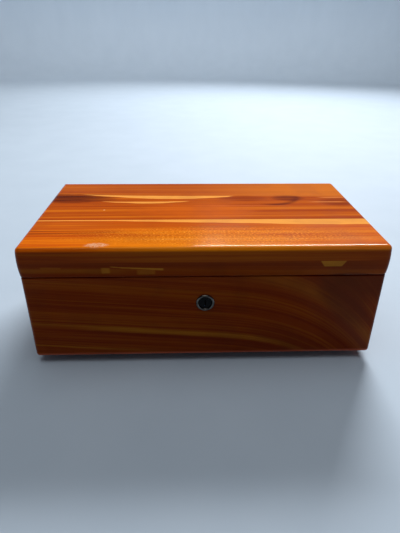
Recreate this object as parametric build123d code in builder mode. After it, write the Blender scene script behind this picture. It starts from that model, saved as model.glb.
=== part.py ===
"""A small cedar chest with a hinged lid, a push-button lock in its front and rubber feet.

Sizes are in millimetres. X runs along the front, the front faces -Y and +Z is up. The origin is
under the middle of the chest, on the surface that its feet stand on.
"""

from build123d import *
from math import cos, pi, sin, sqrt
import os

os.makedirs("parts", exist_ok=True)

# Outer sizes
lid_width = 229.0
lid_depth = 128.0
lid_height = 20.0
case_height = 60.5
foot_drop = 5.5  # the case's lower edges stand this far above the table
seam_gap = 0.3  # between the closed lid and the case

# Outer shape: the lid's faces swell a little, and it overhangs the case on every side
lid_bulge = 0.6
lid_overhang = 0.8
lid_corner_round = 3.2
lid_top_round = 2.8
lid_bottom_round = 1.2
case_corner_round = 2.6
case_bottom_round = 2.0
case_top_round = 0.7

# Boards, their rabbeted corners, and the bottom panel in its groove
board_thickness = 9.5
lap_thickness = 4.75
front_board_width = 45.0
panel_thickness = 5.0
panel_rise = 4.0
groove_depth = 4.5
groove_play = 0.2
panel_end_play = 0.5

# Rubber feet, screwed up into the bottom panel
foot_top_radius = 8.0
foot_bottom_radius = 7.2
foot_edge_round = 0.9
foot_inset = 2.5
foot_recess_radius = 3.9
foot_recess_depth = 4.5
foot_screw_radius = 1.5
foot_screw_head_radius = 3.2
foot_screw_head = 2.2
foot_screw_round = 0.7
foot_screw_bite = 4.0

# Butt hinges
hinge_spacing = 124.0
hinge_length = 25.0
leaf_thickness = 1.0
leaf_reach = 8.5
knuckle_radius = 1.6
middle_knuckle = 10.0
knuckle_gap = 0.15
knuckle_clearance = 0.25
hinge_pin_radius = 0.8
hinge_screw_spacing = 15.0
hinge_screw_offset = 5.2
hinge_screw_length = 7.5

# Small countersunk screws, with a slotted head
screw_radius = 1.0
screw_head_radius = 1.95
screw_slot = 0.5
screw_slot_depth = 0.35
screw_clearance = 0.04

# Lock: barrel, nut, push button and key plug
lock_drop = 18.7  # from the case's top edge down to the lock's axis
bezel_radius = 5.9
bezel_rise = 1.3
barrel_radius = 5.0
barrel_past_nut = 0.5
barrel_web = 1.0
nut_width = 13.0
nut_thickness = 2.4
nut_chamfer = 0.4
button_radius = 4.25
button_recess = 0.8
button_edge_round = 0.4
button_travel = 2.5
stem_radius = 2.3
plug_radius = 2.6
plug_length = 4.8
tail_radius = 1.1
keyway_height = 3.8
keyway_width = 0.9
keyway_depth = 3.4
ring_thickness = 0.5
ring_lip = 1.2  # how far a retaining ring stands out past its shaft
ring_bite = 0.4  # how deep its groove is
ring_gap = 0.15
shaft_past_ring = 0.9
fit_clearance = 0.04

# Latch: a bent lever behind the button, in a bracket that the nut and two screws hold
latch_arm = 12.3  # from the button's axis down to the pivot
latch_thickness = 1.5
latch_width = 8.4
latch_gap = 0.6  # between the lever's upper part and the front panel
push_gap = 0.3
jog_start = 5.0  # above the button's axis
jog_rise = 7.2
bend_radius = 2.2
nose_width = 8.0
nose_reach = 1.6
nose_height = 3.4
nose_edge = 0.9
eye_radius = 2.0
latch_pin_radius = 1.0
latch_pin_head = 0.6
latch_pin_head_radius = 1.7
bracket_thickness = 1.0
bracket_width = 21.0
bracket_top = 9.0
bracket_shoulder = 3.5
bracket_round = 1.5
bracket_screw_spacing = 16.0
bracket_screw_rise = 5.8
bracket_screw_length = 7.0
ear_radius = 3.2
ear_gap = 0.3

# Strike plate on the inside of the lid's front rail
strike_width = 25.0
strike_height = 9.4
strike_thickness = 1.0
strike_round = 1.2
strike_lift = 0.3
strike_bar = 2.1
strike_window_height = 4.6
strike_window_gap = 0.5
strike_screw_spacing = 17.6
strike_screw_length = 6.0
nose_gap = 0.25
strike_pocket = 3.2

# Springs: round wire, wound on a steady pitch
button_wire = 0.6
button_spring_turns = 5
button_spring_radius = 3.3
pressed_slack = 0.8  # left between the turns when the button is fully in
latch_wire = 0.7
latch_spring_radius = 1.5
latch_spring_pitch = 1.15
latch_spring_turns = 3
latch_window_width = 5.0
latch_window_rise = 3.0
latch_leg_length = 9.0
spring_gap = 0.05

# Heights
case_bottom_z = foot_drop
case_top_z = case_bottom_z + case_height
lid_bottom_z = case_top_z + seam_gap
lid_top_z = lid_bottom_z + lid_height
rail_height = lid_height - board_thickness
board_z = lid_bottom_z + rail_height
panel_z = case_bottom_z + panel_rise
lock_z = case_top_z - lock_drop
pivot_z = lock_z - latch_arm

# Depths, with the origin under the middle of what stands out most at the front and back
front_proud = max(0.0, bezel_rise - lid_overhang)
back_proud = max(0.0, knuckle_radius - lid_overhang)
lid_front_y = (front_proud - back_proud - lid_depth) / 2
lid_back_y = lid_front_y + lid_depth
middle_y = (lid_front_y + lid_back_y) / 2
case_front_y = lid_front_y + lid_overhang
case_back_y = lid_back_y - lid_overhang
case_width = lid_width - 2 * lid_overhang
case_depth = lid_depth - 2 * lid_overhang
well_width = case_width - 2 * board_thickness
well_depth = case_depth - 2 * board_thickness

# Places along the lock's axis, counted inwards from the case's front face
plate_back = board_thickness + bracket_thickness
nut_back = plate_back + nut_thickness
barrel_end = nut_back + barrel_past_nut
web_front = barrel_end - barrel_web
button_face = button_recess - bezel_rise
pressed_spring = button_wire * (button_spring_turns + 1) + pressed_slack
button_back = web_front - pressed_spring - button_travel
plug_back = button_face + plug_length
button_ring_front = barrel_end + ring_gap
stem_end = button_ring_front + ring_thickness + shaft_past_ring
plug_ring_front = stem_end + ring_gap
tail_end = plug_ring_front + ring_thickness + shaft_past_ring + tail_radius
latch_face = tail_end + push_gap
pivot_depth = latch_face + latch_thickness / 2
latch_top_depth = board_thickness + latch_gap + latch_thickness / 2
rail_face = board_thickness - lid_overhang
button_bore = button_radius + fit_clearance

lock_axis = Axis((0, case_front_y, lock_z), (0, 1, 0))
lock_section = Plane(origin=(0, case_front_y, lock_z), x_dir=(0, 1, 0), z_dir=(1, 0, 0))
latch_section = Plane(origin=(0, case_front_y, 0), x_dir=(0, 1, 0), z_dir=(1, 0, 0))


def facing_front(depth, height):
    """Return a plane that faces the front, a depth inside the case's front face, at a height."""
    return Plane(origin=(0, case_front_y + depth, height), x_dir=(1, 0, 0), z_dir=(0, -1, 0))


def facing_back(depth, height):
    """Return the same plane turned round, to face the back."""
    return Plane(origin=(0, case_front_y + depth, height), x_dir=(-1, 0, 0), z_dir=(0, 1, 0))


def write_piece(piece, name):
    """Label a finished piece and write it to its own file."""
    piece.label = name
    export_step(piece, f"parts/{name}.step")


# The outside of the lid and of the case, from which every board is cut


def swollen_outline(half_span):
    """Return a face of the lid's section whose two sides are shallow arcs."""
    edge = half_span - lid_bulge
    waist = (lid_bottom_z + lid_top_z) / 2
    with BuildSketch() as outline:
        with BuildLine():
            Line((-edge, lid_bottom_z), (edge, lid_bottom_z))
            ThreePointArc((edge, lid_bottom_z), (half_span, waist), (edge, lid_top_z))
            Line((edge, lid_top_z), (-edge, lid_top_z))
            ThreePointArc((-edge, lid_top_z), (-half_span, waist), (-edge, lid_bottom_z))
        make_face()
    return outline.sketch


with BuildPart() as lid_blank:
    across = Plane(origin=(0, middle_y, 0), x_dir=(1, 0, 0), z_dir=(0, -1, 0))
    along = Plane(origin=(0, middle_y, 0), x_dir=(0, 1, 0), z_dir=(1, 0, 0))
    with BuildSketch(across):
        add(swollen_outline(lid_width / 2))
    extrude(amount=lid_depth / 2, both=True)
    with BuildSketch(along):
        add(swollen_outline(lid_depth / 2))
    extrude(amount=lid_width / 2, both=True, mode=Mode.INTERSECT)
    fillet(lid_blank.edges().group_by(Axis.Z)[1], lid_corner_round)
    fillet(lid_blank.edges().group_by(Axis.Z)[-1], lid_top_round)
    fillet(lid_blank.edges().group_by(Axis.Z)[0], lid_bottom_round)

with BuildPart() as case_blank:
    with BuildSketch(Plane(origin=(0, middle_y, case_bottom_z))):
        RectangleRounded(case_width, case_depth, case_corner_round)
    extrude(amount=case_height)
    fillet(case_blank.edges().group_by(Axis.Z)[-1], case_top_round)
    fillet(case_blank.edges().group_by(Axis.Z)[0], case_bottom_round)


def long_board(blank, outer_y, inward, width, low_z, height):
    """Cut a front or back board, rabbeted at its ends, out of a blank."""
    rabbet = board_thickness - lap_thickness
    with BuildPart() as piece:
        add(blank)
        with BuildSketch(Plane(origin=(0, outer_y, low_z))):
            with Locations((0, inward * board_thickness / 2)):
                Rectangle(width, board_thickness)
            with Locations((0, inward * (lap_thickness + rabbet / 2))):
                with GridLocations(width - board_thickness, 0, 2, 1):
                    Rectangle(board_thickness, rabbet, mode=Mode.SUBTRACT)
        extrude(amount=height, mode=Mode.INTERSECT)
    return piece.part


def end_board(blank, outer_x, inward, depth, low_z, height):
    """Cut a left or right board, which ends in the long boards' rabbets, out of a blank."""
    with BuildPart() as piece:
        add(blank)
        with BuildSketch(Plane(origin=(outer_x, middle_y, low_z))):
            with Locations((inward * board_thickness / 2, 0)):
                Rectangle(board_thickness, depth - 2 * lap_thickness)
        extrude(amount=height, mode=Mode.INTERSECT)
    return piece.part


# Screws, and the places that the hinges share

hinge_line_y = case_back_y
hinge_line_z = case_top_z + seam_gap / 2
hinge_sides = {"left": -hinge_spacing / 2, "right": hinge_spacing / 2}
case_leaf_face = Plane(
    origin=(0, hinge_line_y - hinge_screw_offset, case_top_z),
    x_dir=(1, 0, 0),
    z_dir=(0, 0, 1),
)
lid_leaf_face = Plane(
    origin=(0, hinge_line_y - hinge_screw_offset, lid_bottom_z),
    x_dir=(1, 0, 0),
    z_dir=(0, 0, -1),
)
hinge_screw_spots = [
    (middle + side * hinge_screw_spacing / 2, 0)
    for middle in hinge_sides.values()
    for side in (-1, 1)
]


def countersunk_screws(face, spots, length):
    """Make flat-headed screws whose heads lie level with a face, at spots on it."""
    cone = screw_head_radius - screw_radius
    with BuildPart() as screws:
        with Locations(face):
            with Locations(*[(u, v, 0) for u, v in spots]):
                Cone(
                    screw_radius,
                    screw_head_radius,
                    cone,
                    align=(Align.CENTER, Align.CENTER, Align.MAX),
                )
                Cylinder(screw_radius, length, align=(Align.CENTER, Align.CENTER, Align.MAX))
                Box(
                    2 * screw_head_radius,
                    screw_slot,
                    2 * screw_slot_depth,
                    mode=Mode.SUBTRACT,
                )
    return screws.part


def screw_holes(face, spots, depth):
    """Cut the snug holes that the screws' shanks turn into."""
    with Locations(face):
        with Locations(*[(u, v, 0) for u, v in spots]):
            Hole(screw_radius + screw_clearance, depth)


def countersinks(face, spots, depth):
    """Cut the cone-shaped seats for the screws' heads through a plate."""
    with Locations(face):
        with Locations(*[(u, v, 0) for u, v in spots]):
            CounterSinkHole(
                screw_radius + screw_clearance,
                screw_head_radius + screw_clearance,
                depth,
                counter_sink_angle=90,
            )


def hinge_beds(leaf_z):
    """Cut the beds for the leaves and the hollows for the knuckles into a board's edge."""
    bed_length = hinge_length + 2 * knuckle_clearance
    bed_depth = leaf_reach + knuckle_clearance
    for middle in hinge_sides.values():
        with Locations((middle, hinge_line_y, leaf_z)):
            Box(
                bed_length,
                bed_depth,
                leaf_thickness,
                align=(Align.CENTER, Align.MAX, Align.MIN),
                mode=Mode.SUBTRACT,
            )
        with Locations((middle, hinge_line_y, hinge_line_z)):
            Cylinder(
                knuckle_radius + knuckle_clearance,
                bed_length,
                rotation=(0, 90, 0),
                mode=Mode.SUBTRACT,
            )


# The case: front and back boards with rabbeted ends, two end boards and a floating bottom panel


def panel_groove():
    """Cut the groove that the bottom panel floats in, all round the inside of the case."""
    with Locations((0, middle_y, panel_z)):
        Box(
            well_width + 2 * groove_depth,
            well_depth + 2 * groove_depth,
            panel_thickness + groove_play,
            align=(Align.CENTER, Align.CENTER, Align.MIN),
            mode=Mode.SUBTRACT,
        )


bracket_screw_face = facing_back(plate_back, lock_z + bracket_screw_rise)
bracket_screw_spots = [(-bracket_screw_spacing / 2, 0), (bracket_screw_spacing / 2, 0)]

with BuildPart() as front_panel:
    add(long_board(case_blank.part, case_front_y, 1, case_width, case_bottom_z, case_height))
    panel_groove()
    with Locations(facing_front(0, lock_z)):
        Hole(barrel_radius + fit_clearance, board_thickness)
    screw_holes(bracket_screw_face, bracket_screw_spots, bracket_screw_length)
write_piece(front_panel.part, "front_panel")

with BuildPart() as back_panel:
    add(long_board(case_blank.part, case_back_y, -1, case_width, case_bottom_z, case_height))
    panel_groove()
    hinge_beds(case_top_z - leaf_thickness)
    screw_holes(case_leaf_face, hinge_screw_spots, hinge_screw_length)
write_piece(back_panel.part, "back_panel")

for end_name, end_side in {"left": -1, "right": 1}.items():
    with BuildPart() as end_panel:
        add(
            end_board(
                case_blank.part,
                end_side * case_width / 2,
                -end_side,
                case_depth,
                case_bottom_z,
                case_height,
            )
        )
        panel_groove()
    write_piece(end_panel.part, f"{end_name}_end_panel")

foot_x = well_width / 2 - foot_inset - foot_top_radius
foot_y = well_depth / 2 - foot_inset - foot_top_radius
foot_height = foot_drop + panel_rise
foot_screw_length = foot_height - foot_recess_depth + foot_screw_bite

with BuildPart() as bottom_panel:
    with BuildSketch(Plane(origin=(0, middle_y, panel_z))):
        Rectangle(
            well_width + 2 * (groove_depth - panel_end_play),
            well_depth + 2 * (groove_depth - panel_end_play),
        )
    extrude(amount=panel_thickness)
    with Locations(Plane(origin=(0, middle_y, panel_z), x_dir=(1, 0, 0), z_dir=(0, 0, -1))):
        with GridLocations(2 * foot_x, 2 * foot_y, 2, 2):
            Hole(foot_screw_radius + screw_clearance, foot_screw_bite)
write_piece(bottom_panel.part, "bottom_panel")


# Rubber feet, each with its screw sunk in a recess


def rubber_foot(x, y):
    """Make one tapered foot with a stepped hole for its screw."""
    with BuildPart() as foot:
        with Locations((x, y, 0)):
            Cone(
                foot_bottom_radius,
                foot_top_radius,
                foot_height,
                align=(Align.CENTER, Align.CENTER, Align.MIN),
            )
        fillet(foot.edges().group_by(Axis.Z)[0], foot_edge_round)
        with Locations(Location((x, y, 0), (180, 0, 0))):
            CounterBoreHole(
                foot_screw_radius + screw_clearance,
                foot_recess_radius,
                foot_recess_depth,
                foot_height,
            )
    return foot.part


for row_name, row_side in {"front": -1, "rear": 1}.items():
    for end_name, end_side in {"left": -1, "right": 1}.items():
        foot_part = rubber_foot(end_side * foot_x, middle_y + row_side * foot_y)
        write_piece(foot_part, f"{row_name}_{end_name}_foot")

with BuildPart() as foot_screws:
    with Locations((0, middle_y, foot_recess_depth)):
        with GridLocations(2 * foot_x, 2 * foot_y, 2, 2):
            Cylinder(
                foot_screw_radius,
                foot_screw_length,
                align=(Align.CENTER, Align.CENTER, Align.MIN),
            )
            Cylinder(
                foot_screw_head_radius,
                foot_screw_head,
                align=(Align.CENTER, Align.CENTER, Align.MAX),
            )
    fillet(foot_screws.edges().group_by(Axis.Z)[0], foot_screw_round)
write_piece(foot_screws.part, "foot_screws")


# The lid: two edge-glued top boards over a frame of four rails

strike_z = lid_bottom_z + strike_lift
strike_face = facing_back(rail_face + strike_thickness, strike_z + strike_height / 2)
strike_screw_spots = [(-strike_screw_spacing / 2, 0), (strike_screw_spacing / 2, 0)]
window_z = strike_z + strike_bar
window_width = nose_width + 2 * strike_window_gap

with BuildPart() as lid_front_rail:
    add(long_board(lid_blank.part, lid_front_y, 1, lid_width, lid_bottom_z, rail_height))
    with BuildSketch(facing_back(rail_face, window_z + strike_window_height / 2)):
        Rectangle(window_width, strike_window_height)
    extrude(amount=-strike_pocket, mode=Mode.SUBTRACT)
    screw_holes(strike_face, strike_screw_spots, strike_screw_length)
write_piece(lid_front_rail.part, "lid_front_rail")

with BuildPart() as lid_back_rail:
    add(long_board(lid_blank.part, lid_back_y, -1, lid_width, lid_bottom_z, rail_height))
    hinge_beds(lid_bottom_z)
    screw_holes(lid_leaf_face, hinge_screw_spots, hinge_screw_length)
write_piece(lid_back_rail.part, "lid_back_rail")

for end_name, end_side in {"left": -1, "right": 1}.items():
    end_rail = end_board(
        lid_blank.part,
        end_side * lid_width / 2,
        -end_side,
        lid_depth,
        lid_bottom_z,
        rail_height,
    )
    write_piece(end_rail, f"lid_{end_name}_rail")


def top_board(front_y, back_y):
    """Cut one of the lid's top boards out of its blank, between two lines along its length."""
    with BuildPart() as piece:
        add(lid_blank.part)
        with BuildSketch(Plane(origin=(0, (front_y + back_y) / 2, board_z))):
            Rectangle(lid_width, back_y - front_y)
        extrude(amount=board_thickness, mode=Mode.INTERSECT)
    return piece.part


glue_line_y = lid_front_y + front_board_width
write_piece(top_board(lid_front_y, glue_line_y), "lid_front_board")
write_piece(top_board(glue_line_y, lid_back_y), "lid_rear_board")


# Two brass butt hinges: the case leaf has the outer knuckles and the lid leaf the middle one

outer_knuckle = (hinge_length - middle_knuckle) / 2 - knuckle_gap
outer_knuckle_x = (hinge_length - outer_knuckle) / 2


def knuckles(middle, places, length, radius, mode):
    """Add or cut round knuckles of one length along the hinge line."""
    for place in places:
        with Locations((middle + place, hinge_line_y, hinge_line_z)):
            Cylinder(radius, length, rotation=(0, 90, 0), mode=mode)


def hinge_leaf(middle, own_places, own_length, other_places, other_length, leaf_z, face):
    """Make a leaf with its own knuckles, notched round the other leaf's knuckles."""
    spots = [(u, v) for u, v in hinge_screw_spots if abs(u - middle) < hinge_length]
    with BuildPart() as leaf:
        with Locations((middle, hinge_line_y, leaf_z)):
            Box(
                hinge_length,
                leaf_reach,
                leaf_thickness,
                align=(Align.CENTER, Align.MAX, Align.MIN),
            )
        notch = other_length + 2 * knuckle_gap
        knuckles(middle, other_places, notch, knuckle_radius + knuckle_clearance, Mode.SUBTRACT)
        knuckles(middle, own_places, own_length, knuckle_radius, Mode.ADD)
        knuckles(middle, [0], hinge_length, hinge_pin_radius + fit_clearance, Mode.SUBTRACT)
        countersinks(face, spots, leaf_thickness)
    return leaf.part


for hinge_name, hinge_x in hinge_sides.items():
    outer_places = [-outer_knuckle_x, outer_knuckle_x]
    case_leaf = hinge_leaf(
        hinge_x,
        outer_places,
        outer_knuckle,
        [0],
        middle_knuckle,
        case_top_z - leaf_thickness,
        case_leaf_face,
    )
    lid_leaf = hinge_leaf(
        hinge_x,
        [0],
        middle_knuckle,
        outer_places,
        outer_knuckle,
        lid_bottom_z,
        lid_leaf_face,
    )
    with BuildPart() as hinge_pin:
        knuckles(hinge_x, [0], hinge_length, hinge_pin_radius, Mode.ADD)
    write_piece(case_leaf, f"{hinge_name}_hinge_case_leaf")
    write_piece(lid_leaf, f"{hinge_name}_hinge_lid_leaf")
    write_piece(hinge_pin.part, f"{hinge_name}_hinge_pin")

case_hinge_screws = countersunk_screws(case_leaf_face, hinge_screw_spots, hinge_screw_length)
write_piece(case_hinge_screws, "case_hinge_screws")
lid_hinge_screws = countersunk_screws(lid_leaf_face, hinge_screw_spots, hinge_screw_length)
write_piece(lid_hinge_screws, "lid_hinge_screws")


# The lock's barrel: a ringed flange outside, a bore for the button and a web for its spring

bezel_half_width = (bezel_radius - button_bore) / 2
bezel_crown = bezel_half_width - bezel_rise

with BuildPart() as lock_barrel:
    with BuildSketch(lock_section):
        with BuildLine():
            Polyline(
                (bezel_crown, button_bore),
                (web_front, button_bore),
                (web_front, stem_radius + fit_clearance),
                (barrel_end, stem_radius + fit_clearance),
                (barrel_end, barrel_radius),
                (0, barrel_radius),
                (0, bezel_radius),
                (bezel_crown, bezel_radius),
            )
            ThreePointArc(
                (bezel_crown, bezel_radius),
                (-bezel_rise, button_bore + bezel_half_width),
                (bezel_crown, button_bore),
            )
        make_face()
    revolve(axis=lock_axis)
write_piece(lock_barrel.part, "lock_barrel")

with BuildPart() as lock_nut:
    with BuildSketch(facing_back(plate_back, lock_z)):
        RegularPolygon(nut_width / 2, 6, major_radius=False)
        Circle(barrel_radius + fit_clearance, mode=Mode.SUBTRACT)
    extrude(amount=nut_thickness)
    chamfer(lock_nut.faces().sort_by(Axis.Y)[-1].outer_wire().edges(), nut_chamfer)
write_piece(lock_nut.part, "lock_nut")

with BuildPart() as lock_button:
    with BuildSketch(lock_section):
        with BuildLine():
            Polyline(
                (button_face, plug_radius + fit_clearance),
                (button_face, button_radius),
                (button_back, button_radius),
                (button_back, stem_radius),
                (button_ring_front, stem_radius),
                (button_ring_front, stem_radius - ring_bite),
                (button_ring_front + ring_thickness, stem_radius - ring_bite),
                (button_ring_front + ring_thickness, stem_radius),
                (stem_end, stem_radius),
                (stem_end, tail_radius + fit_clearance),
                (plug_back, tail_radius + fit_clearance),
                (plug_back, plug_radius + fit_clearance),
                close=True,
            )
        make_face()
    revolve(axis=lock_axis)
    front_rim = lock_button.faces().sort_by(Axis.Y)[0].outer_wire().edges()
    fillet(front_rim, button_edge_round)
write_piece(lock_button.part, "lock_button")

with BuildPart() as key_plug:
    with BuildSketch(lock_section):
        with BuildLine():
            Polyline(
                (tail_end, 0),
                (button_face, 0),
                (button_face, plug_radius),
                (plug_back, plug_radius),
                (plug_back, tail_radius),
                (plug_ring_front, tail_radius),
                (plug_ring_front, tail_radius - ring_bite),
                (plug_ring_front + ring_thickness, tail_radius - ring_bite),
                (plug_ring_front + ring_thickness, tail_radius),
                (tail_end - tail_radius, tail_radius),
            )
            RadiusArc((tail_end - tail_radius, tail_radius), (tail_end, 0), tail_radius)
        make_face()
    revolve(axis=lock_axis)
    with BuildSketch(facing_front(button_face, lock_z)):
        SlotOverall(keyway_height, keyway_width, rotation=90)
    extrude(amount=-keyway_depth, mode=Mode.SUBTRACT)
write_piece(key_plug.part, "key_plug")


def retaining_ring(shaft_radius, front):
    """Make an open ring that snaps into a groove of a shaft on the lock's axis."""
    seat_radius = shaft_radius - ring_bite + fit_clearance
    outer_radius = shaft_radius + ring_lip
    with BuildPart() as ring:
        with BuildSketch(facing_back(front, lock_z)):
            Circle(outer_radius)
            Circle(seat_radius, mode=Mode.SUBTRACT)
            with Locations((0, -outer_radius)):
                Rectangle(seat_radius, 2 * outer_radius, mode=Mode.SUBTRACT)
        extrude(amount=ring_thickness)
    return ring.part


write_piece(retaining_ring(stem_radius, button_ring_front), "button_retaining_ring")
write_piece(retaining_ring(tail_radius, plug_ring_front), "plug_retaining_ring")


# The bracket behind the front panel, with two ears that carry the latch's pin

ear_inner_x = latch_width / 2 + ear_gap
ear_outer_x = ear_inner_x + bracket_thickness
bracket_foot_z = pivot_z - ear_radius
bracket_neck_height = lock_z - bracket_foot_z
pivot_axis_plane = Plane(
    origin=(0, case_front_y + pivot_depth, pivot_z),
    x_dir=(0, 1, 0),
    z_dir=(1, 0, 0),
)

with BuildPart() as lock_bracket:
    with BuildSketch(facing_back(board_thickness, lock_z)):
        with Locations((0, (bracket_top - bracket_shoulder) / 2)):
            Rectangle(bracket_width, bracket_top + bracket_shoulder)
        with Locations((0, -bracket_neck_height / 2)):
            Rectangle(2 * ear_outer_x, bracket_neck_height)
    extrude(amount=bracket_thickness)
    corners = lock_bracket.edges().filter_by(Axis.Y)
    fillet(corners.filter_by(lambda edge: abs(edge.center().X) > ear_outer_x + ear_gap), bracket_round)
    for ear_x in (-ear_outer_x, ear_inner_x):
        with BuildSketch(latch_section.offset(ear_x)):
            with Locations((pivot_depth, pivot_z)):
                Circle(ear_radius)
                Rectangle(
                    pivot_depth - board_thickness,
                    2 * ear_radius,
                    align=(Align.MAX, Align.CENTER),
                )
        extrude(amount=bracket_thickness)
    with Locations(facing_back(plate_back, lock_z)):
        Hole(barrel_radius + fit_clearance, bracket_thickness)
    with BuildSketch(pivot_axis_plane):
        Circle(latch_pin_radius + fit_clearance)
    extrude(amount=ear_outer_x, both=True, mode=Mode.SUBTRACT)
    countersinks(bracket_screw_face, bracket_screw_spots, bracket_thickness)
write_piece(lock_bracket.part, "lock_bracket")

bracket_screws = countersunk_screws(bracket_screw_face, bracket_screw_spots, bracket_screw_length)
write_piece(bracket_screws, "bracket_screws")

with BuildPart() as latch_pin:
    pin_half = ear_outer_x + fit_clearance
    with BuildSketch(pivot_axis_plane):
        Circle(latch_pin_radius)
    extrude(amount=pin_half, both=True)
    for head_x in (-pin_half - latch_pin_head, pin_half):
        with BuildSketch(pivot_axis_plane.offset(head_x)):
            Circle(latch_pin_head_radius)
        extrude(amount=latch_pin_head)
    fillet(latch_pin.edges().group_by(Axis.X)[0], latch_pin_head / 2)
    fillet(latch_pin.edges().group_by(Axis.X)[-1], latch_pin_head / 2)
write_piece(latch_pin.part, "latch_pin")


# The latch: a bent steel lever on two eyes, with a hooked nose that catches the strike plate

nose_z = window_z + nose_gap
latch_top_z = nose_z + nose_height
nose_tip = rail_face - nose_reach
jog_low_z = lock_z + jog_start
jog_high_z = jog_low_z + jog_rise
latch_upper_face = latch_top_depth - latch_thickness / 2

with BuildPart() as latch_lever:
    with BuildSketch(latch_section):
        with BuildLine() as lever_bends:
            FilletPolyline(
                (pivot_depth, pivot_z),
                (pivot_depth, jog_low_z),
                (latch_top_depth, jog_high_z),
                (latch_top_depth, latch_top_z),
                radius=bend_radius,
            )
        trace(lever_bends.line, latch_thickness)
        with Locations((pivot_depth, pivot_z)):
            Circle(eye_radius)
    extrude(amount=latch_width / 2, both=True)
    with BuildSketch(latch_section):
        with BuildLine():
            Polyline(
                (latch_top_depth, nose_z),
                (nose_tip, nose_z),
                (nose_tip, nose_z + nose_edge),
                (latch_upper_face, latch_top_z),
                (latch_top_depth, latch_top_z),
                close=True,
            )
        make_face()
    extrude(amount=nose_width / 2, both=True)
    with BuildSketch(pivot_axis_plane):
        Rectangle(4 * eye_radius, 2 * latch_window_rise)
    extrude(amount=latch_window_width / 2, both=True, mode=Mode.SUBTRACT)
    with BuildSketch(pivot_axis_plane):
        Circle(latch_pin_radius + fit_clearance)
    extrude(amount=latch_width / 2, both=True, mode=Mode.SUBTRACT)
write_piece(latch_lever.part, "latch_lever")


# The strike plate, with the window that the latch's nose enters

with BuildPart() as strike_plate:
    with BuildSketch(facing_back(rail_face, strike_z + strike_height / 2)):
        RectangleRounded(strike_width, strike_height, strike_round)
    extrude(amount=strike_thickness)
    with BuildSketch(facing_back(rail_face, window_z + strike_window_height / 2)):
        Rectangle(window_width, strike_window_height)
    extrude(amount=strike_thickness, mode=Mode.SUBTRACT)
    countersinks(strike_face, strike_screw_spots, strike_thickness)
write_piece(strike_plate.part, "strike_plate")

strike_screws = countersunk_screws(strike_face, strike_screw_spots, strike_screw_length)
write_piece(strike_screws, "strike_screws")


# Springs, each one unbroken wire along a helix drawn as pairs of tangent arcs


def helix_points(centre, axis, side, radius, pitch, start_turn, turns):
    """Return places and directions along a helix, four to a turn.

    At t turns the wire is at centre + axis * pitch * t, plus radius times side turned by t about
    axis. The first and last directions are flat, square to the axis.
    """
    across_side = axis.cross(side)
    steps = round(turns * 4)
    places = []
    directions = []
    for step in range(steps + 1):
        turn = step / 4
        angle = 2 * pi * (start_turn + turn)
        reach = side * cos(angle) + across_side * sin(angle)
        climb = axis * (pitch * (turn - turns / 2))
        places.append(centre + climb + reach * radius)
        flat = across_side * cos(angle) - side * sin(angle)
        slope = 0 if step in (0, steps) else pitch / (2 * pi * radius)
        directions.append((flat + axis * slope).normalized())
    return places, directions


def arc_pair(start, end, leave, arrive):
    """Draw two arcs that leave start and arrive at end along the given directions."""
    chord = end - start
    both = leave + arrive
    slack = 2 * (1 - leave.dot(arrive))
    reach = (sqrt(chord.dot(both) ** 2 + slack * chord.dot(chord)) - chord.dot(both)) / slack
    meeting = (start + leave * reach + end - arrive * reach) / 2
    TangentArc(start, meeting, tangent=leave)
    TangentArc(end, meeting, tangent=arrive * -1)


def wire_spring(places, directions, wire, start_leg, end_leg):
    """Sweep a round wire along a helix with a straight leg at each end."""
    with BuildPart() as spring:
        first = places[0] - directions[0] * start_leg
        last = places[-1] + directions[-1] * end_leg
        with BuildLine() as path:
            Line(first, places[0])
            for here in range(len(places) - 1):
                arc_pair(
                    places[here],
                    places[here + 1],
                    directions[here],
                    directions[here + 1],
                )
            Line(places[-1], last)
        with BuildSketch(Plane(origin=first, z_dir=directions[0])):
            Circle(wire / 2)
        sweep(path=path.wires()[0])
    return spring.part


def report_gap(name, radius, pitch, turns, wire):
    """Print the least space between one turn of a helix and the next."""
    samples = 72
    points = []
    for step in range(int(turns * samples) + 1):
        angle = 2 * pi * step / samples
        points.append(Vector(radius * cos(angle), radius * sin(angle), pitch * step / samples))
    least = min(
        (points[other] - points[here]).length
        for here in range(len(points))
        for other in range(here + samples // 2, len(points))
    )
    print(f"{name}: least gap to itself {least - wire:.2f} mm")


button_spring_room = web_front - button_back - button_wire - 2 * spring_gap
button_spring_pitch = button_spring_room / button_spring_turns
button_places, button_directions = helix_points(
    Vector(0, case_front_y + (web_front + button_back) / 2, lock_z),
    Vector(0, 1, 0),
    Vector(0, 0, 1),
    button_spring_radius,
    button_spring_pitch,
    0,
    button_spring_turns,
)
button_spring = wire_spring(
    button_places,
    button_directions,
    button_wire,
    button_wire,
    button_wire,
)
write_piece(button_spring, "button_spring")
report_gap(
    "button_spring",
    button_spring_radius,
    button_spring_pitch,
    button_spring_turns,
    button_wire,
)

latch_front_leg = pivot_depth - plate_back - latch_wire / 2 - spring_gap
latch_places, latch_directions = helix_points(
    Vector(0, case_front_y + pivot_depth, pivot_z),
    Vector(1, 0, 0),
    Vector(0, 1, 0),
    latch_spring_radius,
    latch_spring_pitch,
    -0.25,
    latch_spring_turns + 0.25,
)
latch_spring = wire_spring(
    latch_places,
    latch_directions,
    latch_wire,
    latch_front_leg,
    latch_leg_length,
)
write_piece(latch_spring, "latch_spring")
report_gap(
    "latch_spring",
    latch_spring_radius,
    latch_spring_pitch,
    latch_spring_turns,
    latch_wire,
)
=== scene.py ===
import math

import bpy
import numpy as np
from mathutils import Matrix, Vector


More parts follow.
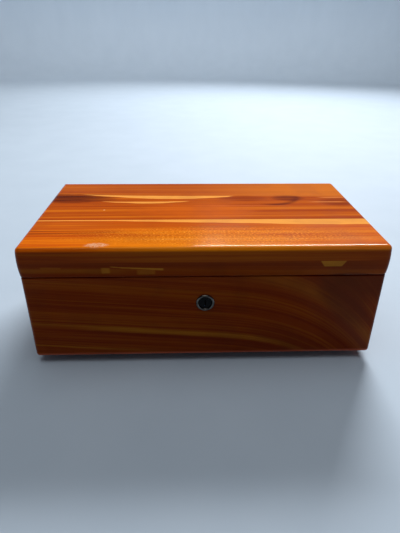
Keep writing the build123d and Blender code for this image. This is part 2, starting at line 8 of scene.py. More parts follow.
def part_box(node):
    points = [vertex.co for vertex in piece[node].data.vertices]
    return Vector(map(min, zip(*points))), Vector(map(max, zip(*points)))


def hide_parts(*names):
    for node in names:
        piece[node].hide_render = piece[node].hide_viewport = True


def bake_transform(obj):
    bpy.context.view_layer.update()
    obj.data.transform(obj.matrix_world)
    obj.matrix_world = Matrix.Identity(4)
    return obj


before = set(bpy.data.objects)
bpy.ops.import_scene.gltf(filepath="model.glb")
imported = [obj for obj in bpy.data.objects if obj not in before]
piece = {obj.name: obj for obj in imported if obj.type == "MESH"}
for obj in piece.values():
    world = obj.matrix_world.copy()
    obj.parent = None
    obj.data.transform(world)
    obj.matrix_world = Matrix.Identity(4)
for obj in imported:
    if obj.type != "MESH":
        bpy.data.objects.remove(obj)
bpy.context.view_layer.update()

# The front panel of the case
# One flat-sawn cedar board, 9.5 mm thick, with the lock through its middle. Its rings rise to the
# left and dive past a knot on the right. Its outside is lacquered amber and its inner face is bare.

millimetre = 0.001


class Field:
    """A number that varies over a piece. Arithmetic on fields adds the nodes that work it out."""

    def __init__(self, finish, socket):
        self.finish = finish
        self.socket = socket

    def math(self, operation, other=0.0):
        """This field and another one, or a number, put through one step of arithmetic."""
        return self.finish.field("Math", {0: self, 1: other}, operation=operation)

    def __add__(self, other):
        return self.math("ADD", other)

    def __sub__(self, other):
        return self.math("SUBTRACT", other)

    def __mul__(self, other):
        return self.math("MULTIPLY", other)

    def __truediv__(self, other):
        return self.math("DIVIDE", other)

    def __rsub__(self, other):
        return self * -1.0 + other

    __radd__ = __add__
    __rmul__ = __mul__

    def rise(self, low, high):
        """0 up to low and 1 from high on, with a smooth step between them."""
        ends = {"Value": self, "From Min": low, "From Max": high}
        return self.finish.field("MapRange", ends, interpolation_type="SMOOTHSTEP")

    def within(self, low, high, soft):
        """1 from low to high, fading to 0 over soft on both sides."""
        return self.rise(low - soft, low + soft) * (1 - self.rise(high - soft, high + soft))

    def line(self, *points):
        """The height, at this place, of a smooth line through points of (place, height)."""
        places = [point[0] for point in points]
        heights = [point[1] for point in points]
        low, high = min(heights), max(heights)
        ends = {"Value": self, "From Min": places[0], "From Max": places[-1]}
        share = self.finish.field("MapRange", ends)
        node = self.finish.nodes.new("ShaderNodeFloatCurve")
        curve = node.mapping.curves[0]
        for number, (place, height) in enumerate([points[0], points[-1], *points[1:-1]]):
            across = (place - places[0]) / (places[-1] - places[0])
            up = (height - low) / (high - low)
            if number < 2:
                curve.points[number].location = (across, up)
            else:
                curve.points.new(across, up)
        node.mapping.update()
        self.finish.feed(node.inputs["Value"], share)
        return Field(self.finish, node.outputs[0]) * (high - low) + low


class Finish:
    """A node material, mixed one step at a time on places in the piece's own millimetres."""

    def __init__(self, name):
        self.material = bpy.data.materials.new(name)
        self.material.use_nodes = True
        self.nodes = self.material.node_tree.nodes
        self.shader = self.nodes["Principled BSDF"]
        metres = self.nodes.new("ShaderNodeTexCoord").outputs["Object"]
        axes = self.nodes.new("ShaderNodeSeparateXYZ")
        self.feed(axes.inputs[0], metres)
        self.x, self.y, self.z = [Field(self, axis) / millimetre for axis in axes.outputs]

    def feed(self, socket, value):
        """Link a field or an output to a socket, or set the socket's own number or colour."""
        value = getattr(value, "socket", value)
        if isinstance(value, bpy.types.NodeSocket):
            self.material.node_tree.links.new(value, socket)
        else:
            socket.default_value = value

    def field(self, kind, feeds, output=0, **settings):
        """Add a node, feed its sockets and give back one of its outputs."""
        node = self.nodes.new("ShaderNode" + kind)
        for name, value in settings.items():
            setattr(node, name, value)
        for name, value in feeds.items():
            self.feed(node.inputs[name], value)
        return Field(self, node.outputs[output])

    def spot(self, across, along, up):
        """Three numbers as one place."""
        return self.field("CombineXYZ", {0: across, 1: along, 2: up})

    def cells(self, size):
        """The place in the piece, counted in cells that are size mm wide."""
        return self.spot(self.x / size, self.y / size, self.z / size)

    def noise(self, place, detail=2.0, roughness=0.5):
        """Cloudy noise, mostly 0.3 to 0.7, whose clouds are one unit of place wide."""
        feeds = {"Vector": place, "Scale": 1.0, "Detail": detail, "Roughness": roughness}
        return self.field("TexNoise", feeds)

    def mix(self, share, first, second):
        """Go from the first colour to the second as share goes from 0 to 1."""
        return self.field("Mix", {0: share, 6: first, 7: second}, output=2, data_type="RGBA")

    def tones(self, value, *stops):
        """Turn a value into a colour by a row of (value, colour) stops."""
        node = self.nodes.new("ShaderNodeValToRGB")
        ramp = node.color_ramp
        while len(ramp.elements) < len(stops):
            ramp.elements.new(0.5)
        for element, (place, colour) in zip(ramp.elements, stops):
            element.position = place
            element.color = colour
        self.feed(node.inputs[0], value)
        return Field(self, node.outputs[0])

    def settle(self, colour, roughness, height=None, depth=0.0, **plain):
        """Send the colour, the roughness and a relief of that depth in mm to the shader."""
        self.feed(self.shader.inputs["Base Color"], colour)
        self.feed(self.shader.inputs["Roughness"], roughness)
        for name, value in plain.items():
            self.feed(self.shader.inputs[name.replace("_", " ")], value)
        if height is not None:
            feeds = {"Height": height, "Distance": depth * millimetre}
            self.feed(self.shader.inputs["Normal"], self.field("Bump", feeds))
        return self.material


def paint(red, green, blue):
    """A colour written as screen values from 0 to 255, as the linear values that a socket takes."""
    shares = np.array([red, green, blue]) / 255
    linear = np.where(shares <= 0.04045, shares / 12.92, ((shares + 0.055) / 1.055) ** 2.4)
    return (*linear.tolist(), 1.0)


class Cedar(Finish):
    """Aromatic cedar: growth bands, the lines in them and fibres, all drawn out along the grain.
    Streaks, knots and sapwood are laid over them by their run, the place along the grain, and by
    the board's own place, which is set for each board and goes across the grain."""

    # Each is so long along the grain and so wide across it, in mm, and the whole figure sways.
    band_length, band_width = 420.0, 7.0
    line_length, line_width = 160.0, 1.3
    fibre_length, fibre_width = 16.0, 0.3
    sway_length, sway_width, sway_depth = 90.0, 16.0, 30.0
    # The edges of slivers are ragged and those of blots are clouded, in cells of these sizes.
    ragged_length, ragged_width, ragged_by = 14.0, 1.2, 1.4
    cloud_length, cloud_width, cloud_by = 26.0, 2.2, 2.2
    relief_depth = 0.04
    lacquer_roughness, bare_roughness = 0.06, 0.62
    lacquer_cloud = 25.0
    warm_gloss = paint(255, 205, 130)

    def grow(self, run, ring, deep, seed, waver=1.5):
        """run is the place along the grain, ring across the growth rings, deep square to both."""
        swaying = self.spot(
            run / self.sway_length + seed, ring / self.sway_width, deep / self.sway_depth
        )
        self.run = run
        self.ring = ring + (self.noise(swaying) - 0.5) * (2 * waver)
        broad = self.spot(run / self.band_length + seed, self.ring / self.band_width, 0.0)
        fine = self.spot(run / self.line_length + seed, self.ring / self.line_width, 0.0)
        self.lines = self.noise(fine, 3.0, 0.65)
        thread = self.spot(
            run / self.fibre_length + seed, ring / self.fibre_width, deep / self.fibre_width
        )
        self.fibres = self.noise(thread, 1.0)
        self.tone = (self.noise(broad) * 0.5 + self.lines * 0.5).rise(0.33, 0.67)

    def sliver(self, lower, upper, first, last, soft=0.4, tail=3.0):
        """1 between two lines across the grain and two places along it, ragged as split fibres."""
        splits = self.spot(self.run / self.ragged_length, self.place / self.ragged_width, 3.0)
        across = self.place + (self.noise(splits) - 0.5) * self.ragged_by
        return across.within(lower, upper, soft) * self.run.within(first, last, tail)

    def blot(self, run, place, half_run, half_place, soft=0.8):
        """1 in an oval and fading out round it, with a clouded edge."""
        clouds = self.spot(self.run / self.cloud_length, self.place / self.cloud_width, 8.0)
        cloud = (self.noise(clouds, 3.0, 0.6) - 0.5) * self.cloud_by
        long = (self.run - run) / half_run
        short = (self.place - place) / half_place
        return 1 - (long * long + short * short + cloud).rise(1 - soft, 1 + soft)

    def tint(self, share, colour):
        """Lay a colour over the wood's own one, as thickly as share says."""
        self.colour = self.mix(share, self.colour, colour)

    def bare_wood(self):
        """Unlacquered cedar, pink with redder lines and pale ones."""
        pink = self.tones(
            self.tone,
            (0.1, paint(166, 90, 64)),
            (0.4, paint(194, 120, 86)),
            (0.65, paint(212, 146, 106)),
            (0.95, paint(228, 176, 134)),
        )
        return self.mix(self.fibres.rise(0.45, 0.75) * 0.3, pink, paint(140, 66, 44))

    def lacquer(self, shade, bare, wear=0.0, shine=0.18):
        """Lacquer on the wood's colour, darker in its fibres, and bare wood where bare is 1."""
        self.tint(self.fibres.rise(0.5, 0.78) * 0.22, shade)
        cloud = self.noise(self.cells(self.lacquer_cloud), 3.0)
        self.tint(cloud.rise(0.48, 0.68) * 0.15, shade)
        gloss = cloud * 0.08 + self.lacquer_roughness + wear
        return self.settle(
            self.mix(bare, self.colour, self.bare_wood()),
            gloss * (1 - bare) + bare * self.bare_roughness,
            self.fibres * (bare * 0.95 + 0.05) + self.lines * 0.05,
            self.relief_depth,
            Specular_IOR_Level=shine,
            Specular_Tint=self.warm_gloss,
        )


def dress(names, material):
    """Give a finish to the pieces of those names."""
    for name in names:
        piece[name].data.materials.clear()
        piece[name].data.materials.append(material)


def corners(name):
    """The lowest and the highest corner of a piece, in millimetres."""
    return [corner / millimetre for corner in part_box(name)]


bare_margin = 0.4
panel_shade = paint(58, 18, 5)
# The case's boards and the lid's rails are the same lacquered cedar as the top boards, but take
# these darker tones: painted shade, for upright sides that stand away from the light above.
shaded_panel_tones = [
    (0.05, paint(98, 21, 1)),
    (0.35, paint(109, 31, 1)),
    (0.6, paint(118, 40, 2)),
    (0.95, paint(132, 58, 4)),
]
olive = paint(152, 90, 18)
maroon = paint(82, 13, 2)
# A paler pink band along the lower edge of the case's outsides: a painted highlight where the
# rounded edge catches the floor's light.
highlight_low, highlight_high = 6.6, 8.8
highlight_pink = paint(200, 98, 72)


def paint_lower_edge_highlight(wood):
    """A paler pink band along the case's lower edge: a painted highlight of the rounded edge
    catching the floor's light.
    """
    wood.tint((1 - wood.z.rise(highlight_low, highlight_high)) * 0.65, highlight_pink)


grain_slope, grain_dive = 0.08, 3.1e-5
front_low, front_high = corners("front_panel")
front = Cedar("cedar_front_panel")
# The grain falls evenly to the right, and from the middle on it dives with the cube of the place.
right = front.x.math("MAXIMUM", 0.0)
front.place = front.z + front.x * grain_slope + right * right * right * grain_dive
front.grow(front.x, front.place + (front.y - front_low.y) * 0.5, front.y, 3.7)
front.colour = front.tones(front.tone, *shaded_panel_tones)
glow = front.place.within(66, 73, 4.0) * front.x.rise(0, 50)
front.tint(glow * 0.5, paint(142, 76, 14))
upper_streak = front.sliver(54.8, 56.0, -130, 40, 0.9, 20.0)
main_streak = front.sliver(20.4, 24.2, -70, 58, 1.2, 28.0)
left_streak = front.sliver(22.8, 24.4, -130, -40, 0.9, 20.0)
low_streak = front.sliver(5.6, 6.9, -130, -40, 0.6, 20.0)
strands = front.lines.rise(0.3, 0.62) * 0.7 + 0.3
front.tint(upper_streak * 0.18, olive)
front.tint(main_streak * strands * 0.85, olive)
front.tint(left_streak * strands * 0.5, olive)
front.tint(low_streak * 0.6, olive)
corner_knot = front.place.rise(80, 96) * front.z.rise(40, 56)
front.tint(corner_knot * 0.85, maroon)
for run, place, half_run, half_place, share in [
    (90, 80, 17, 17, 0.8),
    (96, 50, 22, 16, 0.35),
    (60, 28, 30, 9, 0.3),
]:
    front.tint(front.blot(run, place, half_run, half_place) * share, maroon)
paint_lower_edge_highlight(front)
front_bare = front.y.rise(front_high.y - bare_margin, front_high.y - bare_margin / 2)
dress(["front_panel"], front.lacquer(panel_shade, front_bare))

# The rest of the case
# The back and the two ends are rabbeted together with the front, and the bottom slides in their
# groove. Their grain runs along each board. Only the outsides are lacquered.


def bare_inside(out, inner_face):
    """1 on a board's inner face and 0 outside it, where out is the place from inside to outside."""
    return 1 - out.rise(inner_face + bare_margin / 2, inner_face + bare_margin)


back_low, back_high = corners("back_panel")
back = Cedar("cedar_back_panel")
back.place = back.z - back.x * 0.05
back.grow(back.x, back.place + (back_high.y - back.y) * 0.5, back.y, 11.2, 3.0)
back.colour = back.tones(back.tone, *shaded_panel_tones)
paint_lower_edge_highlight(back)
dress(["back_panel"], back.lacquer(panel_shade, bare_inside(back.y, back_low.y)))

for number, end_name in enumerate(["left_end_panel", "right_end_panel"]):
    end_low, end_high = corners(end_name)
    inner_face = min(abs(end_low.x), abs(end_high.x))
    end = Cedar("cedar_" + end_name)
    out = end.x.math("ABSOLUTE")
    end.place = end.z + end.y * 0.04
    end.grow(end.y, end.place + out * 0.5, end.x, 21.0 + 7 * number, 3.0)
    end.colour = end.tones(end.tone, *shaded_panel_tones)
    paint_lower_edge_highlight(end)
    dress([end_name], end.lacquer(panel_shade, bare_inside(out, inner_face)))

bottom = Cedar("cedar_bottom_panel")
bottom.place = bottom.y
bottom.grow(bottom.x, bottom.y + bottom.z * 0.3, bottom.z, 33.0, 6.0)
bottom.colour = panel_shade
dress(["bottom_panel"], bottom.lacquer(panel_shade, 1.0))

# The feet
# Four moulded black rubber feet under the bottom's corners. A round-headed zinc-plated screw goes
# up through each.

rubber = Finish("foot_rubber")
bloom = rubber.noise(rubber.cells(3), 4.0, 0.6)
grit = rubber.noise(rubber.cells(0.35))
dress(
    ["front_left_foot", "front_right_foot", "rear_left_foot", "rear_right_foot"],
    rubber.settle(
        rubber.mix(bloom.rise(0.35, 0.7), paint(26, 26, 27), paint(48, 47, 46)),
        bloom * 0.2 + 0.6,
        height=grit,
        depth=0.03,
        Specular_IOR_Level=0.35,
    ),
)


def metal(name, clean, dull, polish, run=1.0, tool=0.25, depth=0.002):
    """A worked metal: tool marks of that width in mm, run times as long, and dull clouds on it."""
    finish = Finish(name)
    marks = finish.spot(finish.x / (tool * run), finish.y / tool, finish.z / tool)
    scratches = finish.noise(marks, 2.0, 0.7)
    tarnish = finish.noise(finish.cells(4), 4.0, 0.6).rise(0.42, 0.72)
    return finish.settle(
        finish.mix(tarnish, clean, dull),
        tarnish * 0.16 + scratches * 0.12 + (polish - 0.06),
        scratches,
        depth,
        Metallic=1.0,
    )


zinc = metal("zinc_plated_steel", paint(205, 208, 209), paint(168, 170, 168), polish=0.3)
dress(["foot_screws", "bracket_screws", "latch_pin"], zinc)

# The lock's barrel and nut
# A turned barrel goes through the front panel. Its domed flange is the bright ring round the
# button, and a hexagon nut draws it tight from inside. Both are nickel-plated brass.

nickel = metal(
    "nickel_plate", paint(106, 101, 96), paint(66, 62, 59), polish=0.12, tool=0.2, depth=0.001
)
dress(["lock_barrel", "lock_nut"], nickel)

# The latch
# A bracket of pressed steel is clamped under the nut and screwed to the panel. A lever swings on a
# pin between its ears, and the hook at its top holds the lid shut. All are zinc-plated.

rolled_zinc = metal(
    "rolled_zinc", paint(196, 199, 200), paint(158, 160, 158), polish=0.34, run=0.08, tool=0.3
)
dress(["lock_bracket", "latch_lever"], rolled_zinc)

# The springs
# Both are wound from bright spring wire. One pushes the button out, and the other, round the
# latch's pin, pushes the lever to its hooked place.

spring_wire = metal(
    "spring_wire", paint(176, 178, 180), paint(130, 130, 131), polish=0.26, tool=0.15
)


def ring_faces(rings, sides):
    """Four-sided faces from each ring of so many points to the next ring, all the way round."""
    ring, step = np.meshgrid(np.arange(rings - 1), np.arange(sides), indexing="ij")
    here, there, after = ring * sides, (ring + 1) * sides, (step + 1) % sides
    faces = np.stack([here + step, here + after, there + after, there + step], axis=-1)
    return faces.reshape(-1, 4)


def wire(name, path, across, radius, sides=12):
    """A round wire along a path of points. The circle at each point is radius times cos and sin of
    the angle, on the two directions square to the path there, the first of them square to across.
    A fan of triangles from the path's own end point closes each end."""
    along = np.gradient(path, axis=0)
    along /= np.linalg.norm(along, axis=1, keepdims=True)
    side = np.cross(across, along)
    side /= np.linalg.norm(side, axis=1, keepdims=True)
    up = np.cross(along, side)
    angle = np.linspace(0, 2 * np.pi, sides, endpoint=False)[None, :, None]
    circle = radius * (np.cos(angle) * side[:, None] + np.sin(angle) * up[:, None])
    points = np.concatenate([(path[:, None] + circle).reshape(-1, 3), path[[0, -1]]])
    around = np.arange(sides)
    ahead = (around + 1) % sides
    first = len(path) * sides
    last_ring = first - sides
    front_cap = np.stack([np.full(sides, first), ahead, around], axis=-1)
    back_cap = np.stack(
        [np.full(sides, first + 1), last_ring + around, last_ring + ahead], axis=-1
    )
    faces = [*ring_faces(len(path), sides).tolist(), *front_cap.tolist(), *back_cap.tolist()]
    mesh = bpy.data.meshes.new(name)
    mesh.from_pydata((points * millimetre).tolist(), [], faces)
    mesh.shade_smooth()
    mesh.materials.append(spring_wire)
    made = bpy.data.objects.new(name, mesh)
    bpy.context.scene.collection.objects.link(made)
    return made


button_wire = 0.6
button_turns = 5
button_points_a_turn = 48
flat_end_share = 0.06
coil_low, coil_high = corners("button_spring")
coil_radius = (coil_high.z - coil_low.z - button_wire) / 2
turn = np.linspace(0, button_turns, button_points_a_turn * button_turns + 1)
# The end turns lie flat and the rest climb: the climb is a smooth step stretched over the turns.
even = np.clip((turn - 0.5) / (button_turns - 1), 0, 1)
closed = even + flat_end_share * np.sin(2 * np.pi * even)
button_path = np.stack(
    [
        coil_radius * np.sin(2 * np.pi * turn),
        coil_low.y + button_wire / 2 + closed * (coil_high.y - coil_low.y - button_wire),
        (coil_high.z + coil_low.z) / 2 + coil_radius * np.cos(2 * np.pi * turn),
    ],
    axis=1,
)
button_coil = wire("button_coil", button_path, [0, 1, 0], button_wire / 2)
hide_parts("button_spring")
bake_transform(button_coil)

latch_wire = 0.7
latch_coil_radius = 1.5
latch_turns = 3.25
latch_points = 118
leg_points = 24
leg_low, leg_high = corners("latch_spring")
pin_low, pin_high = corners("latch_pin")
pin_middle = (pin_low + pin_high) / 2
turn = np.linspace(0, latch_turns, latch_points)
aside = (leg_high.x - leg_low.x - latch_wire) / 2
latch_turned = np.stack(
    [
        np.interp(turn, [0, latch_turns], [-aside, aside]),
        pin_middle.y + latch_coil_radius * np.sin(2 * np.pi * turn),
        pin_middle.z - latch_coil_radius * np.cos(2 * np.pi * turn),
    ],
    axis=1,
)
# A leg at each end of the turns leaves them in line: one forwards, one up.
share = np.linspace(1, 0, leg_points + 1)[:-1, None]
front_leg = latch_turned[0] + share * [0, leg_low.y - latch_turned[0, 1], 0]
up_leg = latch_turned[-1] + share[::-1] * [0, 0, leg_high.z - latch_turned[-1, 2]]
latch_path = np.concatenate([front_leg, latch_turned, up_leg])
latch_coil = wire("latch_coil", latch_path, [1, 0, 0], latch_wire / 2)
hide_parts("latch_spring")
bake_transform(latch_coil)

# The button, the key plug and their retaining rings
# The button is a turned cap in black lacquer that slides in the barrel. The key plug turns in its
# middle, and a spring-steel ring on each holds it in.

black_shine = 0.14
rub_depth = 0.003
button_black = Finish("button_lacquer")
button_rub = button_black.noise(button_black.cells(1.5), 4.0, 0.65)
dress(
    ["lock_button"],
    button_black.settle(
        button_black.mix(button_rub.rise(0.45, 0.75), paint(6, 6, 7), paint(15, 14, 15)),
        button_rub * 0.16 + 0.1,
        button_rub,
        rub_depth,
        Specular_IOR_Level=black_shine,
    ),
)
plug_black = Finish("key_plug_lacquer")
plug_rub = plug_black.noise(plug_black.cells(0.8), 4.0, 0.65)
slot_side = 1 - plug_black.x.math("ABSOLUTE").rise(0.45, 1.0)
worn = slot_side * plug_rub.rise(0.4, 0.6)
dress(
    ["key_plug"],
    plug_black.settle(
        plug_black.mix(worn * 0.35, paint(7, 7, 8), paint(46, 44, 42)),
        plug_rub * 0.2 + 0.14,
        plug_rub,
        rub_depth,
        Specular_IOR_Level=black_shine,
    ),
)
dress(["button_retaining_ring", "plug_retaining_ring"], spring_wire)

# The hinges
# Two brass-plated butt hinges let into the back rail and the back panel. Each is two leaves rolled
# round a pin and held by four slotted screws.

brass = metal(
    "hinge_brass", paint(214, 172, 96), paint(168, 122, 60), polish=0.24, run=6.0, tool=0.22
)
hinge_sides = ["left_hinge", "right_hinge"]
hinge_parts = [side + part for side in hinge_sides for part in ("_case_leaf", "_lid_leaf", "_pin")]
dress([*hinge_parts, "case_hinge_screws", "lid_hinge_screws"], brass)

# The lid's rails
# Four cedar rails make the lid's rim, rabbeted at the corners as the case is. A few short pale
# flecks and a pale patch with slanted sides lie across the front one.

rail_low, rail_high = corners("lid_front_rail")
rail = Cedar("cedar_lid_front_rail")
rail.place = rail.z + rail.x * 0.012
rail.grow(rail.x, rail.place * 1.25 + (rail.y - rail_low.y) * 0.5, rail.y, 5.1, 1.2)
rail.colour = rail.tones((rail.tone - 0.5) * 0.6 + 0.55, *shaded_panel_tones)
fleck = paint(176, 112, 30)
rail.tint(rail.sliver(68.6, 71.4, -118, -52, 0.8, 14.0) * 0.3, olive)
thorn_low = rail.x.line((-60, 73.2), (-40, 71.7), (-25, 70.9))
thorn_high = rail.x.line((-60, 73.5), (-40, 72.7), (-25, 72.3))
rail.tint(rail.sliver(thorn_low, thorn_high, -58, -26, 0.25, 0.8) * 0.85, fleck)
for first, last, low, high, share in [
    (-63.5, -58.5, 68.6, 72.4, 0.5),
    (-42, -31, 68.0, 71.0, 0.3),
    (-100, -88, 71.5, 72.6, 0.2),
]:
    rail.tint(rail.sliver(low, high, first, last, 0.4, 0.8) * share, fleck)
slant = (76.8 - rail.z) * 0.7
right_fleck = rail.x.within(slant + 70.5, 86.5 - slant, 0.5) * rail.z.rise(72.7, 73.4)
rail.tint(right_fleck * 0.8, fleck)
# A dark maroon band along the rail's lower edge on the right: painted shadow under the lid, where
# it meets the case.
rail.tint(rail.blot(92, 66.5, 14, 3.0, 0.35) * 0.6, maroon)
rail_bare = rail.y.rise(rail_high.y - bare_margin, rail_high.y - bare_margin / 2)
dress(["lid_front_rail"], rail.lacquer(panel_shade, rail_bare))

for number, rail_name in enumerate(["lid_back_rail", "lid_left_rail", "lid_right_rail"]):
    low, high = corners(rail_name)
    other = Cedar("cedar_" + rail_name)
    lengthwise = rail_name == "lid_back_rail"
    run, out = (other.x, other.y) if lengthwise else (other.y, other.x.math("ABSOLUTE"))
    inner_face = low.y if lengthwise else min(abs(low.x), abs(high.x))
    other.place = other.z * 1.25
    other.grow(run, other.place + out * 0.5, out, 41.0 + 6 * number)
    other.colour = other.tones(other.tone, *shaded_panel_tones)
    dress([rail_name], other.lacquer(panel_shade, bare_inside(out, inner_face)))

# The lid's top
# Two edge-glued cedar boards, their long edges rounded over. The front one has pale sapwood along
# the glue line, and the rear one has lens-shaped slivers of it among dark knots.

lid_low, lid_high = corners("lid_front_board")
glue_line = lid_high.y - lid_low.y
rim_half_width = corners("lid_right_rail")[0].x
rim_front, rim_back = corners("lid_front_rail")[1].y, corners("lid_back_rail")[0].y
rounding_low, rounding_high = 83.2, 85.0
top_shine = 0.19
sapwood = paint(250, 168, 72)
brown = paint(152, 54, 4)
top_shade = paint(146, 50, 2)


def top_wood(name, seed, waver, *tones):
    """A top board, measured back from the lid's front edge, with its rings nearly upright."""
    wood = Cedar(name)
    wood.place = wood.y - lid_low.y
    wood.grow(wood.x, wood.place + (lid_high.z - wood.z) * 0.6, wood.z, seed, waver)
    wood.colour = wood.tones(wood.tone, *tones)
    return wood


def lacquer_top(wood, wear=0.0):
    """Lacquer on a top board, its upright edges darkened to the case's tones as painted shade, and
    none under the board.
    """
    # Below the rounding, the board's upright edges take the case's darker tones: painted shade, as
    # on the case's sides.
    edge = 1 - wood.z.rise(rounding_low, rounding_high)
    wood.tint(edge * 0.95, wood.tones(wood.tone, *shaded_panel_tones))
    inside = wood.x.within(-rim_half_width, rim_half_width, bare_margin)
    inside = inside * wood.y.within(rim_front, rim_back, bare_margin)
    return wood.lacquer(
        top_shade, bare_inside(wood.z, lid_low.z) * inside, wear, shine=top_shine
    )


near = top_wood(
    "cedar_lid_front_board",
    8.3,
    1.6,
    (0.05, paint(184, 70, 3)),
    (0.4, paint(210, 92, 3)),
    (0.62, paint(224, 108, 4)),
    (0.95, paint(242, 134, 12)),
)
near.tint(near.blot(-8, 11, 62, 10) * 0.55, paint(242, 140, 10))
near.tint(near.x.rise(45, 85) * 0.4, paint(198, 96, 48))
left_streaks = near.sliver(20.5, 27.0, -130, -52, 0.8, 14.0) * near.lines.rise(0.4, 0.6)
middle_streaks = near.sliver(30.5, 39.0, -74, 52, 1.2, 22.0) * near.lines.rise(0.36, 0.6)
near.tint(left_streaks, brown)
near.tint(middle_streaks * 0.6, brown)
near.tint(near.sliver(28.0, 44.0, -130, -66, 2.0, 20.0) * 0.45, paint(180, 78, 16))
near.tint(near.sliver(12.0, 13.6, -40, 112, 0.5, 20.0) * 0.35, paint(250, 168, 70))
# Small pores, light and dark, over the middle of the board
pores = near.noise(near.spot(near.x / 1.5, near.place / 0.6, 5.0), 1.0)
speckled = near.blot(12, 18, 86, 13, 0.9)
near.tint(pores.rise(0.56, 0.66) * speckled * 0.6, paint(255, 172, 56))
near.tint(pores.rise(0.54, 0.44) * speckled * 0.4, brown)
sap_edge = near.x.line(
    (-115, 43.3), (-60, 43.0), (-40, 41.8), (0, 39.6), (40, 37.6), (75, 35.6), (115, 35.2)
)
near.tint(near.sliver(sap_edge, glue_line + 9, -200, 200, 0.3) * 0.95, sapwood)
scratched = near.noise(near.spot(near.x / 0.9, near.place / 1.4, near.z / 1.4), 3.0, 0.75)
scuff = near.blot(-66, 4.8, 6.2, 3.0) * scratched.rise(0.34, 0.6)
near.tint(scuff * 0.7, paint(238, 196, 160))
dress(["lid_front_board"], lacquer_top(near, scuff * 0.3))

far = top_wood(
    "cedar_lid_rear_board",
    14.9,
    1.8,
    (0.05, paint(156, 54, 2)),
    (0.4, paint(182, 75, 2)),
    (0.62, paint(195, 88, 4)),
    (0.95, paint(216, 112, 12)),
)
far_edge = far.x.line((-115, 97.0), (0, 94.5), (115, 91.0))
beyond = far.place.rise(far_edge - 2, far_edge + 3)
far.tint(beyond * 0.5, paint(184, 88, 30))
far.tint(beyond * far.x.rise(-30, 90) * 0.55, paint(232, 130, 34))
far.tint(far.blot(-5, 62, 42, 14) * 0.55, paint(216, 98, 10))
# The dark knots, and the hook that the grain makes round one of them
streaks = far.lines.rise(0.66, 0.4) * 0.5 + 0.5
far.tint(far.blot(-103, 89, 32, 9.0) * (streaks * 0.4 + 0.6), paint(88, 20, 1))
far.tint(far.sliver(83.5, 86.5, -100, -40, 0.8, 20.0) * streaks * 0.5, paint(112, 32, 3))
far.tint(far.blot(33, 88, 17, 5.5) * streaks * 0.7, paint(132, 42, 4))
hook_run, hook_place = (far.x - 52) / 24, (far.place - 91) / 19
hook_reach = hook_run * hook_run + hook_place * hook_place
hook = hook_reach.within(0.68, 1.02, 0.22) * far.x.rise(42, 56) * (1 - far.place.rise(90, 94))
far.tint(hook * streaks * 0.95, paint(96, 22, 3))
far.tint(far.blot(67, 88, 12, 5.0) * streaks * 0.85, paint(100, 26, 3))
far.tint(far.blot(104, 79, 13, 9.0) * streaks * 0.75, paint(122, 36, 4))
# The two lenses of sapwood and the paler slivers
lens_high = far.x.line((-92, 98.4), (-66, 96.2), (-36, 94.8), (0, 94.2), (28, 94.4))
lens_low = far.x.line(
    (-92, 98.0), (-70, 93.0), (-46, 89.0), (-24, 87.2), (-4, 88.0), (28, 94.0)
)
far.tint(far.sliver(lens_low, lens_high, -90, 24, 0.35, 4.0) * 0.97, sapwood)
small_high = far.x.line((-76, 82.4), (-44, 81.2), (-24, 81.6), (-8, 82.8))
small_low = far.x.line((-76, 82.0), (-58, 79.0), (-38, 77.4), (-24, 78.8), (-8, 82.4))
far.tint(far.sliver(small_low, small_high, -74, -10, 0.35) * 0.92, sapwood)
for low, high, first, last in [(78.5, 80.6, 84, 109), (88.2, 90.4, 93, 118)]:
    far.tint(far.sliver(low, high, first, last, 0.5, 5.0) * 0.7, paint(232, 136, 62))
far.tint(far.sliver(71.0, 72.2, 0, 60, 0.5, 14.0) * 0.4, paint(232, 124, 60))
speck = far.blot(-70.5, 64, 0.7, 1.1, 0.5)
far.tint(speck * 0.7, paint(240, 176, 110))
dress(["lid_rear_board"], lacquer_top(far))

# The strike plate
# A nickel-plated steel plate, screwed inside the lid's front rail. The latch's hook catches in its
# window.

strike_nickel = metal(
    "strike_nickel", paint(198, 194, 186), paint(156, 151, 143), polish=0.22, run=5.0
)
dress(["strike_plate", "strike_screws"], strike_nickel)

# The room
# A pale seamless floor that curves up all round like a dish, a soft lamp behind the box on the
# right, a wide one above, one for the backdrop alone, and a camera where the picture was taken.

dish_radius, dish_bend, dish_rim, dish_sides = 2.3, 0.35, 0.6, 128
around = np.linspace(0, 2 * np.pi, dish_sides, endpoint=False)
bend = np.radians(np.linspace(0, 90, 25))
# The floor is flat to where the bend begins, and from there a quarter circle goes round Z.
reach = np.append(dish_radius - dish_bend + dish_bend * np.sin(bend), dish_radius)[:, None]
level = np.append(dish_bend - dish_bend * np.cos(bend), dish_rim)[:, None]
floor_points = np.stack(
    [reach * np.cos(around), reach * np.sin(around), level + 0 * around], axis=-1
)
rising = ring_faces(len(reach), dish_sides)[:, ::-1]
floor_mesh = bpy.data.meshes.new("floor")
floor_mesh.from_pydata(
    floor_points.reshape(-1, 3).tolist(), [], [list(range(dish_sides)), *rising.tolist()]
)
floor_mesh.shade_smooth()
floor = bpy.data.objects.new("floor", floor_mesh)
bpy.context.scene.collection.objects.link(floor)
floor_finish = Finish("pale_floor")
mottle = floor_finish.noise(
    floor_finish.spot(floor_finish.x / 60, floor_finish.y / 60, 0.0), 3.0
)
floor_colour = floor_finish.mix(mottle, paint(174, 190, 206), paint(184, 199, 214))
floor_mesh.materials.append(floor_finish.settle(floor_colour, roughness=0.75))


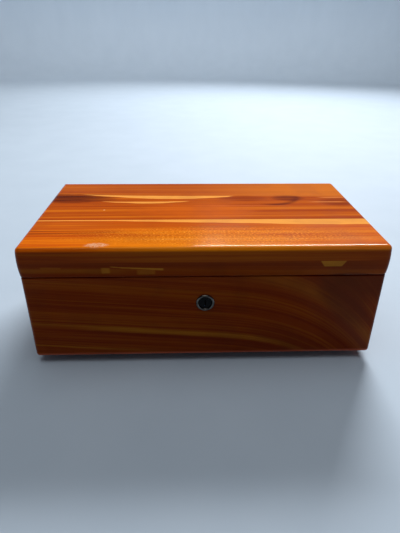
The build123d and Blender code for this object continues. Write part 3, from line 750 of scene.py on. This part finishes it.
def soft_lamp(name, place, aim, width, height, watts, spread=180):
    """A soft rectangular lamp at a place, turned towards another, its light spread in degrees."""
    lamp = bpy.data.lights.new(name, "AREA")
    lamp.shape = "RECTANGLE"
    lamp.size, lamp.size_y = width, height
    lamp.spread = math.radians(spread)
    lamp.energy = watts
    holder = bpy.data.objects.new(name, lamp)
    holder.location = place
    holder.rotation_euler = (Vector(aim) - Vector(place)).to_track_quat("-Z", "Y").to_euler()
    bpy.context.scene.collection.objects.link(holder)


box_middle = (0, 0, 0.06)
soft_lamp("key_lamp", (0.53, 1.62, 1.3), box_middle, 1.0, 0.5, watts=24.5, spread=120)
soft_lamp("wide_lamp", (-0.1, -0.1, 1.7), box_middle, 1.4, 1.4, watts=11.5)
soft_lamp("backdrop_lamp", (0, 1.0, 1.5), (0, 2.2, 0.25), 2.4, 0.4, watts=9.0, spread=100)

sky_strength = 0.09  # low, because the lid's gloss mirrors it
room = bpy.data.worlds.new("room")
room.use_nodes = True
sky = room.node_tree.nodes["Background"]
sky.inputs["Color"].default_value = paint(236, 240, 244)
sky.inputs["Strength"].default_value = sky_strength
bpy.context.scene.world = room

camera_place = Vector((-0.012289, -0.299837, 0.199649))
camera_pitch = math.radians(28.093)
camera_yaw = math.radians(2.115)
camera_roll = math.radians(0.49)
focal_pixels = 439.075
picture_height = 533
forward = Vector(
    (
        math.sin(camera_yaw) * math.cos(camera_pitch),
        math.cos(camera_yaw) * math.cos(camera_pitch),
        -math.sin(camera_pitch),
    )
)
level_right = Vector((math.cos(camera_yaw), -math.sin(camera_yaw), 0))
level_up = level_right.cross(forward)
rolled_right = math.cos(camera_roll) * level_right + math.sin(camera_roll) * level_up
rolled_up = math.cos(camera_roll) * level_up - math.sin(camera_roll) * level_right
lens = bpy.data.cameras.new("camera")
lens.sensor_width = 36
lens.lens = focal_pixels * lens.sensor_width / picture_height
lens.clip_start, lens.clip_end = 0.01, 20
camera = bpy.data.objects.new("camera", lens)
bpy.context.scene.collection.objects.link(camera)
facing = Matrix((rolled_right, rolled_up, -forward)).transposed()
camera.matrix_world = Matrix.Translation(camera_place) @ facing.to_4x4()
bpy.context.scene.camera = camera
bpy.context.scene.view_settings.view_transform = "Standard"
